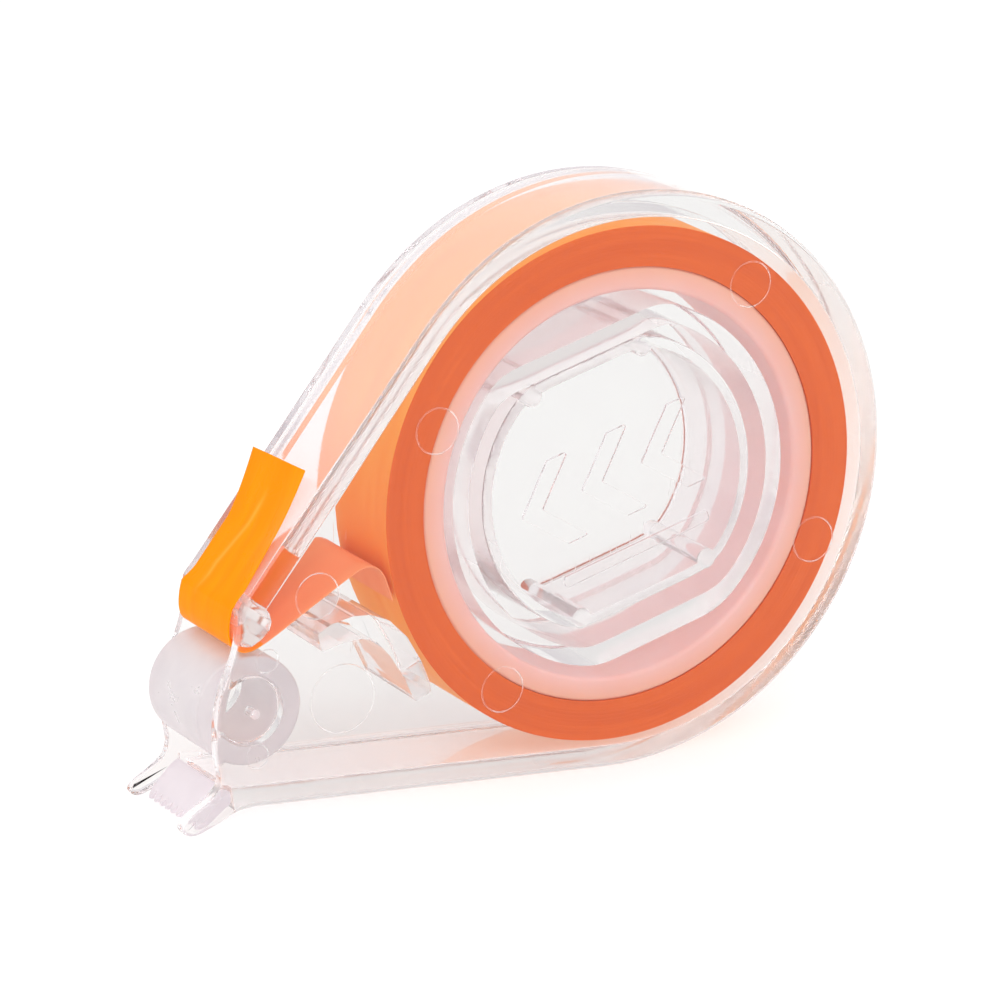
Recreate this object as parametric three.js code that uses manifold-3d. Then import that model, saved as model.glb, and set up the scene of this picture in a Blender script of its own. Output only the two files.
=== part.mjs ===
// Hand dispenser for a roll of narrow adhesive tape, with an applicator roller
// and a serrated cutter at its tip. Clear moulded case in two halves.
// Millimetres, +Z up, front face towards -Y. The case is drawn in its own
// plane about the roll's axis (x to the right, z up) and then stood on its
// two cutter prongs and the bottom of its round end.
import * as THREE from 'three';
import * as BufferGeometryUtils from 'three/addons/utils/BufferGeometryUtils.js';
import Module from 'manifold-3d';

// ---------------------------------------------------------------- dimensions
const CASE_HALF_Y = 8.2;        // half of the case's overall thickness
const PLATE_T = 1.6;            // thickness of each side plate
const CAVITY_C = [0.7, 0.2];    // centre of the round pocket inside the perimeter wall
const CAVITY_R = 31.8;          // its radius; the wall is what is left outside it
const SEAM_Y = 6.0;             // rear edge of the front shell's wall
const REBATE_Y = 4.5;           // where the wall steps to take the rear shell's lip
const REBATE_T = 1.0;           // wall thickness behind the step
const FIT_GAP = 0.3;            // gap left between neighbouring mouldings
const LEAN_DEG = 0.96;          // turn that stands the case on prongs and round end

const TAPE_W = 12.7;            // tape width, 1/2 inch
const ROLL_R = 30.8;            // outside of the wound tape
const ROLL_IN_R = 26.0;         // inside of the wound tape
const CORE_R = 25.75;           // outside of the tape core
const CORE_IN_R = 23.2;         // bore of the tape core

const HUB_C = [-0.5, 0.3];      // centre of the case's hub
const HUB_R = 22.0;             // hub ring on the front shell, outside
const HUB_IN_R = 19.9;
const HUB_FLAT_DEG = 15.7;      // direction of the hub's two flats
const HUB_TOP = 18.9;           // upper flat, outside
const HUB_TOP_IN = 16.2;
const HUB_BOT = 20.3;           // lower flat, outside
const HUB_BOT_IN = 17.6;
const HUB_END_Y = 5.8;
const PLUG_R = 17.9;            // hub plug on the rear shell
const PLUG_FLAT = 15.6;
const PLUG_T = 1.2;
const PLUG_END_Y = -6.2;
const PAD_R = 1.25;             // round pads in the plug's four corners

const ROLLER_C = [-48.3, -19.5];
const ROLLER_R = 6.5;
const ROLLER_BORE_R = 4.1;
const ROLLER_HALF_L = 6.2;
const BOSS_R = 4.0;             // bosses that the roller turns on
const BOSS_H = 2.2;
const BOSS_HOLE_R = 0.6;

const ARC_SEG_DEG = 3;

// ------------------------------------------------------------ case outline
// Round end as radii about a point just off the roll's axis, then the slanted
// upper edge, the cheek round the roller, the prong and the straight lower edge.
const ROUND_C = [-0.6, 1.1];
const ROUND_TABLE = [
  [-93.6, 35.0], [-75, 35.05], [-60, 35.1], [-45, 35.15], [-30, 35.2], [-15, 35.2],
  [0, 35.2], [15, 35.15], [30, 35.05], [45, 34.85], [60, 34.6], [75, 34.3],
  [90, 34.05], [105, 33.8], [120, 33.6], [131, 33.45], [141.3, 33.4],
];
const NOSE_TOP = [-49.9, -7.0];         // lower end of the slanted edge
const CHEEK = [
  [-50.05, -9.0], [-50.3, -11.0], [-51.0, -13.3], [-52.05, -15.8], [-52.8, -18.4],
  [-53.1, -21.0], [-53.1, -23.4], [-52.8, -25.4], [-52.65, -26.7], [-52.95, -27.8],
  [-53.9, -28.75], [-55.5, -29.75], [-56.75, -30.55], [-57.4, -31.25], [-57.55, -31.9],
  [-57.2, -32.5], [-56.5, -32.9], [-55.6, -32.95], [-54.3, -32.55], [-52.3, -31.75],
  [-50.6, -31.0], [-48.5, -30.74],
];

function radiusAt(deg) {
  const t = ROUND_TABLE;
  let i = 0;
  while (i < t.length - 2 && deg > t[i + 1][0]) i += 1;
  const f = (deg - t[i][0]) / (t[i + 1][0] - t[i][0]);
  return t[i][1] + f * (t[i + 1][1] - t[i][1]);
}

// Anticlockwise seen from the front, from the lower tangent point over the top
// to the nose: the stretch that carries the perimeter wall, less the lower edge.
function roundEnd() {
  const pts = [];
  const a0 = ROUND_TABLE[0][0], a1 = ROUND_TABLE[ROUND_TABLE.length - 1][0];
  const n = Math.round((a1 - a0) / ARC_SEG_DEG);
  for (let i = 0; i <= n; i += 1) {
    const deg = a0 + (a1 - a0) * i / n, a = deg * Math.PI / 180, r = radiusAt(deg);
    pts.push([ROUND_C[0] + r * Math.cos(a), ROUND_C[1] + r * Math.sin(a)]);
  }
  return pts;
}

const roundPts = roundEnd();
const outline = [...roundPts, NOSE_TOP, ...CHEEK];

// the wall runs along the lower edge, round the end and up the slanted edge
const wallLine = [[-50.6, -31.0], [-48.5, -30.74], ...roundPts, NOSE_TOP];

// inner face of the wall: round about the roll, straight along the two long edges
function unit(a, b) {
  const l = Math.hypot(b[0] - a[0], b[1] - a[1]);
  return [(b[0] - a[0]) / l, (b[1] - a[1]) / l];
}
function innerFace(startX, straightUp) {
  const d1 = unit([-48.5, -30.74], roundPts[0]);
  const d2 = unit(roundPts[roundPts.length - 1], NOSE_TOP);
  const t1 = [CAVITY_C[0] + CAVITY_R * d1[1], CAVITY_C[1] - CAVITY_R * d1[0]];
  const t2 = [CAVITY_C[0] + CAVITY_R * d2[1], CAVITY_C[1] - CAVITY_R * d2[0]];
  const along = (t1[0] - startX) / d1[0];
  const pts = [[t1[0] - d1[0] * along, t1[1] - d1[1] * along]];
  const a1 = Math.atan2(-d1[0], d1[1]), a2 = Math.atan2(-d2[0], d2[1]);
  const n = Math.round((a2 - a1) * 180 / Math.PI / ARC_SEG_DEG);
  for (let i = 0; i <= n; i += 1) {
    const a = a1 + (a2 - a1) * i / n;
    pts.push([CAVITY_C[0] + CAVITY_R * Math.cos(a), CAVITY_C[1] + CAVITY_R * Math.sin(a)]);
  }
  pts.push([t2[0] + d2[0] * straightUp, t2[1] + d2[1] * straightUp]);
  return pts;
}
const slantLength = Math.hypot(NOSE_TOP[0] - roundPts[roundPts.length - 1][0], NOSE_TOP[1] - roundPts[roundPts.length - 1][1]);

// the rear shell's lip stops short of the nose and of the cutter
const lastRound = roundPts[roundPts.length - 1];
const lipEnd = [
  lastRound[0] + 0.78 * (NOSE_TOP[0] - lastRound[0]),
  lastRound[1] + 0.78 * (NOSE_TOP[1] - lastRound[1]),
];
const lipLine = [[-48.5, -30.74], ...roundPts, lipEnd];
const wallInner = innerFace(-50.85, slantLength);
const lipInner = innerFace(-48.4, 0.78 * slantLength);

// ------------------------------------------------------------------ helpers
const wasm = await Module();
wasm.setup();

function prism(points, y0, y1, holes = []) {
  const shape = new THREE.Shape(points.map(([x, z]) => new THREE.Vector2(x, z)));
  for (const h of holes) shape.holes.push(new THREE.Path(h.map(([x, z]) => new THREE.Vector2(x, z))));
  const g = new THREE.ExtrudeGeometry(shape, { depth: y1 - y0, bevelEnabled: false, steps: 1 });
  g.rotateX(Math.PI / 2);
  g.translate(0, y1, 0);
  return g;
}

function circle([cx, cz], r, n) {
  const pts = [];
  for (let i = 0; i < n; i += 1) {
    const a = (i + 0.5) * 2 * Math.PI / n;
    pts.push([cx + r * Math.cos(a), cz + r * Math.sin(a)]);
  }
  return pts;
}

function ring(c, rOut, rIn, y0, y1, n) {
  return prism(circle(c, rOut, n), y0, y1, [circle(c, rIn, n)]);
}

// circle with two parallel flats, turned by deg
function flatted([cx, cz], r, top, bottom, deg, n = 72) {
  const pts = [];
  const u = deg * Math.PI / 180;
  const put = (a) => {
    const x = r * Math.cos(a), z = r * Math.sin(a);
    pts.push([cx + x * Math.cos(u) - z * Math.sin(u), cz + x * Math.sin(u) + z * Math.cos(u)]);
  };
  const aT = Math.asin(top / r), aB = Math.asin(bottom / r);
  const half = n / 2;
  for (let i = 0; i <= half; i += 1) put(-aB + (aT + aB) * i / half);
  for (let i = 0; i <= half; i += 1) put(Math.PI - aT + (aT + aB) * i / half);
  return pts;
}

// open line moved sideways by d, to its left
function offsetLine(line, d) {
  return line.map((p, i) => {
    const a = line[Math.max(0, i - 1)], b = line[Math.min(line.length - 1, i + 1)];
    const d1 = [p[0] - a[0], p[1] - a[1]], d2 = [b[0] - p[0], b[1] - p[1]];
    const l1 = Math.hypot(...d1) || 1, l2 = Math.hypot(...d2) || 1;
    let tx = (d1[0] / l1) * (i > 0) + (d2[0] / l2) * (i < line.length - 1);
    let tz = (d1[1] / l1) * (i > 0) + (d2[1] / l2) * (i < line.length - 1);
    const l = Math.hypot(tx, tz); tx /= l; tz /= l;
    let k = 1;
    if (i > 0 && i < line.length - 1) k = 1 / Math.max(0.5, tx * d1[0] / l1 + tz * d1[1] / l1);
    return [p[0] - tz * d * k, p[1] + tx * d * k];
  });
}

// wall between two open lines that run the same way
function band(outer, inner, y0, y1) {
  return prism([...outer, ...[...inner].reverse()], y0, y1);
}

function solid(geometry) {
  const g = geometry.clone();
  g.deleteAttribute('normal');
  g.deleteAttribute('uv');
  const m = BufferGeometryUtils.mergeVertices(g, 1e-4);
  const mesh = new wasm.Mesh({
    numProp: 3,
    vertProperties: new Float32Array(m.attributes.position.array),
    triVerts: new Uint32Array(m.index.array),
  });
  mesh.merge();
  return new wasm.Manifold(mesh);
}

function join(...geometries) {
  return geometries.map(solid).reduce((a, b) => a.add(b));
}

function toGeometry(manifold) {
  const mesh = manifold.getMesh();
  const n = mesh.numProp;
  const count = mesh.vertProperties.length / n;
  const pos = new Float32Array(count * 3);
  for (let i = 0; i < count; i += 1) for (let k = 0; k < 3; k += 1) pos[3 * i + k] = mesh.vertProperties[n * i + k];
  const g = new THREE.BufferGeometry();
  g.setAttribute('position', new THREE.BufferAttribute(pos, 3));
  g.setIndex(new THREE.BufferAttribute(new Uint32Array(mesh.triVerts), 1));
  g.computeVertexNormals();
  return g;
}

// ---------------------------------------------------------------- materials
const clear = new THREE.MeshStandardMaterial({ color: 0xe9ebee, roughness: 0.08, metalness: 0, transparent: true, opacity: 0.3 });
const frosted = new THREE.MeshStandardMaterial({ color: 0xe6e1e4, roughness: 0.45, metalness: 0, transparent: true, opacity: 0.6 });
const milky = new THREE.MeshStandardMaterial({ color: 0xece9e8, roughness: 0.35, metalness: 0, transparent: true, opacity: 0.7 });
const coreMat = new THREE.MeshStandardMaterial({ color: 0xf5c4ae, roughness: 0.35, metalness: 0 });
const tapeSide = new THREE.MeshStandardMaterial({ color: 0xeb6a36, roughness: 0.5, metalness: 0 });
const tapeFace = new THREE.MeshStandardMaterial({ color: 0xff9300, roughness: 0.35, metalness: 0 });

// -------------------------------------------------------------- front shell
const yF = -CASE_HALF_Y, yFi = -CASE_HALF_Y + PLATE_T;
const yR = CASE_HALF_Y, yRi = CASE_HALF_Y - PLATE_T;

// rounded nose at the lower end of the slanted wall, which the tape turns round
const nose = [
  [-49.6, -6.9], [-50.05, -8.6], [-50.05, -10.3], [-49.75, -11.15], [-49.05, -11.7],
  [-48.1, -11.75], [-46.9, -11.1], [-45.9, -10.2], [-45.6, -9.2], [-45.9, -8.2], [-47.0, -6.2],
  [-47.9, -5.3],
];
// curved finger that lies along the lower left of the roll
const finger = [
  [-39.8, -11.64], [-39.36, -13.83], [-36.74, -13.19], [-33.99, -13.1], [-32.16, -13.83],
  [-30.56, -15.7], [-29.07, -18.09], [-27.35, -21.72], [-25.2, -20.9], [-25.35, -19.79],
  [-26.5, -17.01], [-28.35, -13.75], [-30.6, -11.45], [-33.04, -10.37], [-35.34, -10.21],
  [-38.08, -10.73],
];

const hubOuter = flatted(HUB_C, HUB_R, HUB_TOP, HUB_BOT, HUB_FLAT_DEG);
const hubInner = flatted(HUB_C, HUB_IN_R, HUB_TOP_IN, HUB_BOT_IN, HUB_FLAT_DEG);

let front = join(
  prism(outline, yF, yFi),
  band(wallLine, wallInner, yFi - 0.5, REBATE_Y),
  band(wallLine, offsetLine(wallLine, REBATE_T), REBATE_Y - 0.5, SEAM_Y),
  prism(nose, yFi - 0.5, SEAM_Y),
  prism(finger, yFi - 0.5, SEAM_Y),
  prism(hubOuter, yFi - 0.5, HUB_END_Y, [hubInner]),
  prism(circle(ROLLER_C, BOSS_R, 40), yFi - 0.5, yFi + BOSS_H),
);
front = front.subtract(solid(prism(circle(ROLLER_C, BOSS_HOLE_R, 16), yF - 1, yFi + BOSS_H - 1.0)));

// --------------------------------------------------------------- rear shell
const plugC = [HUB_C[0], HUB_C[1]];
const plugOuter = flatted(plugC, PLUG_R, PLUG_FLAT + 0.3, PLUG_FLAT - 0.4, HUB_FLAT_DEG);
const plugInner = flatted(plugC, PLUG_R - PLUG_T, PLUG_FLAT + 0.3 - PLUG_T, PLUG_FLAT - 0.4 - PLUG_T, HUB_FLAT_DEG);
const padPoints = [];
for (const [side, top] of [[1, 1], [-1, 1], [-1, -1], [1, -1]]) {
  const v = top > 0 ? PLUG_FLAT + 0.3 - 1.35 : -(PLUG_FLAT - 0.4 - 1.35);
  const w = side * (Math.sqrt((PLUG_R - 1.35) ** 2 - v * v) - 0.35);
  const u = HUB_FLAT_DEG * Math.PI / 180;
  padPoints.push([plugC[0] + w * Math.cos(u) - v * Math.sin(u), plugC[1] + w * Math.sin(u) + v * Math.cos(u)]);
}
const rear = join(
  prism(outline, yRi, yR),
  band(wallLine, wallInner, SEAM_Y + FIT_GAP, yRi + 0.5),
  band(offsetLine(lipLine, REBATE_T + FIT_GAP), lipInner, REBATE_Y + FIT_GAP, yRi + 0.5),
  prism(plugOuter, PLUG_END_Y, yRi + 0.5, [plugInner]),
  ...padPoints.map((p) => prism(circle(p, PAD_R, 16), PLUG_END_Y, yRi + 0.5)),
  prism(circle(ROLLER_C, BOSS_R, 40), yRi - BOSS_H, yRi + 0.5),
);

// --------------------------------------------------------------- tape leader
// The strip from the roll, over its loop, round the nose and up the outside of
// the slanted wall as a free tab.
const LEADER = [
  [-30.05, -9.2], [-30.6, -7.5], [-31.15, -6.1], [-31.9, -5.15], [-32.9, -4.75], [-34.0, -4.85],
  [-35.3, -5.45], [-38.5, -7.25], [-42.0, -9.25], [-45.2, -11.1], [-46.7, -11.85], [-48.1, -12.35],
  [-49.3, -12.3], [-50.2, -11.6], [-50.6, -10.5], [-50.6, -8.8], [-50.2, -7.3], [-49.1, -5.2],
  [-47.3, -2.2], [-44.9, 1.3], [-43.1, 4.2], [-41.4, 7.3],
];
const leaderGeo = prism([...offsetLine(LEADER, -0.12), ...offsetLine(LEADER, 0.12).reverse()], -TAPE_W / 2, TAPE_W / 2);

// ------------------------------------------------------------------- cutter
// Curved web between the prongs with a saw-toothed lower edge.
const CUT_HALF = CASE_HALF_Y - PLATE_T - FIT_GAP;
const webProfile = [
  [-51.0, -28.7], [-51.6, -28.95], [-52.6, -29.75], [-53.6, -30.75], [-54.5, -31.75], [-55.15, -32.6],
  [-54.75, -32.75], [-53.75, -32.2], [-52.6, -31.35], [-51.6, -30.6], [-51.0, -30.2],
];
const TOOTH_PITCH = 1.4, TOOTH_DEPTH = 1.15;
let cutter = solid(prism(webProfile, -CUT_HALF, CUT_HALF));
{
  const dir = [-0.62, -0.785];                    // the way the teeth point
  const nTeeth = Math.floor(2 * CUT_HALF / TOOTH_PITCH);
  const y0 = -nTeeth * TOOTH_PITCH / 2;
  for (let i = 0; i <= nTeeth; i += 1) {
    // V notch between two teeth, cut straight through the web's edge
    const yc = y0 + i * TOOTH_PITCH;
    const tri = new THREE.Shape([
      new THREE.Vector2(-TOOTH_PITCH * 0.55, 0.4), new THREE.Vector2(0, -TOOTH_DEPTH), new THREE.Vector2(TOOTH_PITCH * 0.55, 0.4),
    ]);
    const g = new THREE.ExtrudeGeometry(tri, { depth: 5, bevelEnabled: false });
    g.translate(0, 0, -2.5);
    // local x -> along y, local y -> along dir, local z -> across the web
    const m = new THREE.Matrix4().makeBasis(
      new THREE.Vector3(0, 1, 0),
      new THREE.Vector3(dir[0], 0, dir[1]),
      new THREE.Vector3(dir[1], 0, -dir[0]),
    );
    m.setPosition(-55.0, yc, -32.7);
    g.applyMatrix4(m);
    cutter = cutter.subtract(solid(g));
  }
}

// ----------------------------------------------------------------- assembly
const part = new THREE.Group();
function add(name, geometry, material) {
  const mesh = new THREE.Mesh(geometry, material);
  mesh.name = name;
  part.add(mesh);
  return mesh;
}

add('front_shell', toGeometry(front), clear);
add('rear_shell', toGeometry(rear), clear);
add('tape_core', ring([0, 0], CORE_R, CORE_IN_R, -TAPE_W / 2, TAPE_W / 2, 96), coreMat);
add('tape_roll', ring([0, 0], ROLL_R, ROLL_IN_R, -TAPE_W / 2, TAPE_W / 2, 96), tapeSide);
add('tape_leader', leaderGeo, tapeFace);
add('applicator_roller', ring(ROLLER_C, ROLLER_R, ROLLER_BORE_R, -ROLLER_HALF_L, ROLLER_HALF_L, 64), milky);
add('cutter_blade', toGeometry(cutter), frosted);

// stand the case up and put the origin at the middle of its base
const lean = LEAN_DEG * Math.PI / 180;
const turned = outline.map(([x, z]) => [x * Math.cos(lean) - z * Math.sin(lean), x * Math.sin(lean) + z * Math.cos(lean)]);
const minX = Math.min(...turned.map((p) => p[0])), maxX = Math.max(...turned.map((p) => p[0]));
const minZ = Math.min(...turned.map((p) => p[1]));
part.rotation.y = -lean;
part.position.set(-(minX + maxX) / 2, 0, -minZ);
part.updateMatrixWorld(true);

export default part;
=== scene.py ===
import math

import bmesh
import bpy
import numpy as np
from mathutils import Matrix, Vector


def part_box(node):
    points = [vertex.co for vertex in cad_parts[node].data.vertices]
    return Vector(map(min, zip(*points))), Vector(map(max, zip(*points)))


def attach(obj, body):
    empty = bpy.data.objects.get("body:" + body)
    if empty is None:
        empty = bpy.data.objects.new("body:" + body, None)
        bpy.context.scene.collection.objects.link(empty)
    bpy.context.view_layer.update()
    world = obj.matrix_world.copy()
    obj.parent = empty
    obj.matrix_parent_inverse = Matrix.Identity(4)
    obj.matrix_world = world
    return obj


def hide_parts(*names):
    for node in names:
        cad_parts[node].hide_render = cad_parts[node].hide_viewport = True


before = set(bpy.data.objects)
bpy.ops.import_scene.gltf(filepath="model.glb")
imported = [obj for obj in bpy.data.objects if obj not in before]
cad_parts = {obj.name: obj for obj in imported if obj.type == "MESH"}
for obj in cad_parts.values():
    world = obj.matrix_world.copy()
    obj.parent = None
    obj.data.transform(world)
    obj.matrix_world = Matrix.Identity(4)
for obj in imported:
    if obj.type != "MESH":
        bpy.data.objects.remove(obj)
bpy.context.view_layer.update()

# ---------------------------------------------------------------------------
# The dispenser is drawn in its own plane about the roll's axis, in millimetres
# (x right, y depth with the front face at -y, z up), then leaned and moved to
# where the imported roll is.
# ---------------------------------------------------------------------------
LEAN = math.radians(0.96)
roll_lo, roll_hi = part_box("tape_roll")
ROLL_AXIS = (roll_lo + roll_hi) / 2


def to_frame(co):
    co = np.asarray(co, float).reshape(-1, 3)
    c, s = math.cos(LEAN), math.sin(LEAN)
    x = (co[:, 0] * c - co[:, 2] * s) / 1000 + ROLL_AXIS.x
    z = (co[:, 0] * s + co[:, 2] * c) / 1000 + ROLL_AXIS.z
    return np.c_[x, co[:, 1] / 1000 + ROLL_AXIS.y, z]


CASE_Y = 8.2
PLATE_T = 1.6
YF, YFI = -CASE_Y, -CASE_Y + PLATE_T
YR, YRI = CASE_Y, CASE_Y - PLATE_T
CAVITY_C, CAVITY_R = (0.7, 0.2), 31.8
SEAM_Y, REBATE_Y, REBATE_T, GAP = 6.0, 4.5, 1.0, 0.3
TAPE_HALF = 6.35

HUB_C = (-0.5, 0.3)
HUB_DEG = 15.7
ROLLER_C = (-48.3, -19.5)

ROUND_C = (-0.6, 1.1)
ROUND_TABLE = [
    (-93.6, 35.0), (-75, 35.05), (-60, 35.1), (-45, 35.15), (-30, 35.2), (-15, 35.2),
    (0, 35.2), (15, 35.15), (30, 35.05), (45, 34.85), (60, 34.6), (75, 34.3),
    (90, 34.05), (105, 33.8), (120, 33.6), (131, 33.45), (141.3, 33.4),
]
NOSE_TOP = (-49.9, -7.0)
CHEEK = [
    (-50.05, -9.0), (-50.3, -11.0), (-51.0, -13.3), (-52.05, -15.8), (-52.8, -18.4),
    (-53.1, -21.0), (-53.1, -23.4), (-52.8, -25.4), (-52.65, -26.7), (-52.95, -27.8),
    (-53.9, -28.75), (-55.5, -29.75), (-56.75, -30.55), (-57.4, -31.25), (-57.55, -31.9),
    (-57.2, -32.5), (-56.5, -32.9), (-55.6, -32.95), (-54.3, -32.55), (-52.3, -31.75),
    (-50.6, -31.0), (-48.5, -30.74),
]


# ------------------------------------------------------------------- curves
def catmull(points, per=5, closed=False):
    p = np.asarray(points, float)
    n = len(p)
    out = []
    spans = n if closed else n - 1
    for i in range(spans):
        if closed:
            p0, p1, p2, p3 = p[(i - 1) % n], p[i], p[(i + 1) % n], p[(i + 2) % n]
        else:
            p1, p2 = p[i], p[i + 1]
            p0 = p[i - 1] if i > 0 else 2 * p1 - p2
            p3 = p[i + 2] if i + 2 < n else 2 * p2 - p1
        t0 = 0.0
        t1 = t0 + max(np.linalg.norm(p1 - p0), 1e-9) ** 0.5
        t2 = t1 + max(np.linalg.norm(p2 - p1), 1e-9) ** 0.5
        t3 = t2 + max(np.linalg.norm(p3 - p2), 1e-9) ** 0.5
        for k in range(per):
            t = t1 + (t2 - t1) * k / per
            a1 = (t1 - t) / (t1 - t0) * p0 + (t - t0) / (t1 - t0) * p1
            a2 = (t2 - t) / (t2 - t1) * p1 + (t - t1) / (t2 - t1) * p2
            a3 = (t3 - t) / (t3 - t2) * p2 + (t - t2) / (t3 - t2) * p3
            b1 = (t2 - t) / (t2 - t0) * a1 + (t - t0) / (t2 - t0) * a2
            b2 = (t3 - t) / (t3 - t1) * a2 + (t - t1) / (t3 - t1) * a3
            out.append((t2 - t) / (t2 - t1) * b1 + (t - t1) / (t2 - t1) * b2)
    if not closed:
        out.append(p[-1])
    return np.array(out)


def line(a, b, step=1.0, last=False):
    a, b = np.asarray(a, float), np.asarray(b, float)
    n = max(1, int(round(np.linalg.norm(b - a) / step)))
    return np.array([a + (b - a) * k / n for k in range(n + last)])


def radius_at(deg):
    t = ROUND_TABLE
    i = 0
    while i < len(t) - 2 and deg > t[i + 1][0]:
        i += 1
    x0, x1 = t[i][0], t[i + 1][0]
    f = (deg - x0) / (x1 - x0)
    r0, r1 = t[i][1], t[i + 1][1]
    ra = t[i - 1] if i > 0 else (2 * x0 - x1, 2 * r0 - r1)
    rb = t[i + 2] if i + 2 < len(t) else (2 * x1 - x0, 2 * r1 - r0)
    m0 = (r1 - ra[1]) / (x1 - ra[0]) * (x1 - x0)
    m1 = (rb[1] - r0) / (rb[0] - x0) * (x1 - x0)
    f2, f3 = f * f, f * f * f
    return (2 * f3 - 3 * f2 + 1) * r0 + (f3 - 2 * f2 + f) * m0 + (3 * f2 - 2 * f3) * r1 + (f3 - f2) * m1


def round_points(step=1.5):
    a0, a1 = ROUND_TABLE[0][0], ROUND_TABLE[-1][0]
    n = int(round((a1 - a0) / step))
    out = []
    for i in range(n + 1):
        deg = a0 + (a1 - a0) * i / n
        a, r = math.radians(deg), radius_at(deg)
        out.append((ROUND_C[0] + r * math.cos(a), ROUND_C[1] + r * math.sin(a)))
    return np.array(out)


ROUND = round_points()
_on = np.asarray(NOSE_TOP) + (ROUND[-1] - np.asarray(NOSE_TOP)) * (2.2 / np.linalg.norm(ROUND[-1] - np.asarray(NOSE_TOP)))
_cheek = catmull([_on, NOSE_TOP, *CHEEK], 6)
OUTLINE = np.vstack([
    ROUND[:-1],
    line(ROUND[-1], _on, 1.2),
    _cheek[:-1],
    line(CHEEK[-1], ROUND[0], 1.5),
])
_nose_part = catmull([_on, NOSE_TOP, CHEEK[0]], 6)[:8]
WALL_LINE = np.vstack([
    line((-50.5, -30.98), CHEEK[-1], 0.8),
    line(CHEEK[-1], ROUND[0], 1.5),
    ROUND[:-1],
    line(ROUND[-1], _on, 1.2),
    _nose_part,
])


def inner_face(start_x, straight_up):
    """The inner face of the wall: round about the roll, straight along the two long edges."""
    d1 = ROUND[0] - np.asarray(CHEEK[-1])
    d2 = np.asarray(NOSE_TOP) - ROUND[-1]
    d1, d2 = d1 / np.linalg.norm(d1), d2 / np.linalg.norm(d2)
    c = np.asarray(CAVITY_C)
    t1 = c + CAVITY_R * np.array([d1[1], -d1[0]])
    t2 = c + CAVITY_R * np.array([d2[1], -d2[0]])
    start = t1 - d1 * (t1[0] - start_x) / d1[0]
    a1, a2 = math.atan2(-d1[0], d1[1]), math.atan2(-d2[0], d2[1])
    n = int(round(math.degrees(a2 - a1) / 1.5))
    a = a1 + (a2 - a1) * np.arange(n + 1) / n
    arc = c + CAVITY_R * np.c_[np.cos(a), np.sin(a)]
    return np.vstack([line(start, arc[0], 1.5), arc[:-1], line(arc[-1], t2 + d2 * straight_up, 1.2, last=True)])


SLANT = float(np.linalg.norm(np.asarray(NOSE_TOP) - ROUND[-1]))


def normals_of(p, closed):
    """Unit normals to the left of the way the points run, with the mitre factor."""
    p = np.asarray(p, float)
    if closed:
        a, b = p - np.roll(p, 1, 0), np.roll(p, -1, 0) - p
    else:
        d = np.diff(p, axis=0)
        a, b = np.vstack([d[:1], d]), np.vstack([d, d[-1:]])
    a /= np.maximum(np.linalg.norm(a, axis=1, keepdims=True), 1e-12)
    b /= np.maximum(np.linalg.norm(b, axis=1, keepdims=True), 1e-12)
    t = a + b
    t /= np.maximum(np.linalg.norm(t, axis=1, keepdims=True), 1e-12)
    k = 1 / np.maximum((t * a).sum(1), 0.6)
    return np.c_[-t[:, 1], t[:, 0]] * k[:, None]


def offset(p, d, closed=True):
    return np.asarray(p, float) + normals_of(p, closed) * d


def filleted(points, r, step=0.8, seg=5):
    """A polygon, anticlockwise, with round corners."""
    p = np.asarray(points, float)
    n = len(p)
    out = []
    for i in range(n):
        a, b, c = p[i - 1], p[i], p[(i + 1) % n]
        u, v = (a - b), (c - b)
        lu, lv = np.linalg.norm(u), np.linalg.norm(v)
        u, v = u / lu, v / lv
        cosang = float(np.clip(u @ v, -1, 1))
        half = math.acos(cosang) / 2
        cut = min(r / max(math.tan(half), 1e-6), 0.45 * lu, 0.45 * lv)
        s, e = b + u * cut, b + v * cut
        for k in range(seg + 1):
            f = k / seg
            out.append((1 - f) ** 2 * s + 2 * f * (1 - f) * b + f * f * e)
    out = np.array(out)
    full = []
    for i in range(len(out)):
        q = out[(i + 1) % len(out)]
        d = np.linalg.norm(q - out[i])
        m = max(1, int(d / step))
        for k in range(m):
            full.append(out[i] + (q - out[i]) * k / m)
    full = np.array(full)
    keep = np.linalg.norm(full - np.roll(full, 1, 0), axis=1) > 1e-4
    return full[keep]


def circle(c, r, n=48):
    a = (np.arange(n) + 0.5) * 2 * math.pi / n
    return np.c_[c[0] + r * np.cos(a), c[1] + r * np.sin(a)]


def flatted(c, r, top, bottom, deg, corner=1.0):
    """A circle with two parallel flats, turned by deg, with eased corners."""
    u = math.radians(deg)
    at, ab = math.asin(top / r), math.asin(bottom / r)
    raw = []
    for i in range(41):
        a = -ab + (at + ab) * i / 40
        raw.append((r * math.cos(a), r * math.sin(a)))
    for i in range(41):
        a = math.pi - at + (at + ab) * i / 40
        raw.append((r * math.cos(a), r * math.sin(a)))
    raw = np.array(raw)
    fine = []
    for i in range(len(raw)):
        q = raw[(i + 1) % len(raw)]
        d = np.linalg.norm(q - raw[i])
        m = max(1, int(d / 0.8))
        for k in range(m):
            fine.append(raw[i] + (q - raw[i]) * k / m)
    fine = np.array(fine)
    for _ in range(int(corner * 6)):
        fine = (np.roll(fine, 1, 0) + 2 * fine + np.roll(fine, -1, 0)) / 4
    x = fine[:, 0] * math.cos(u) - fine[:, 1] * math.sin(u) + c[0]
    z = fine[:, 0] * math.sin(u) + fine[:, 1] * math.cos(u) + c[1]
    return np.c_[x, z]


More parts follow.
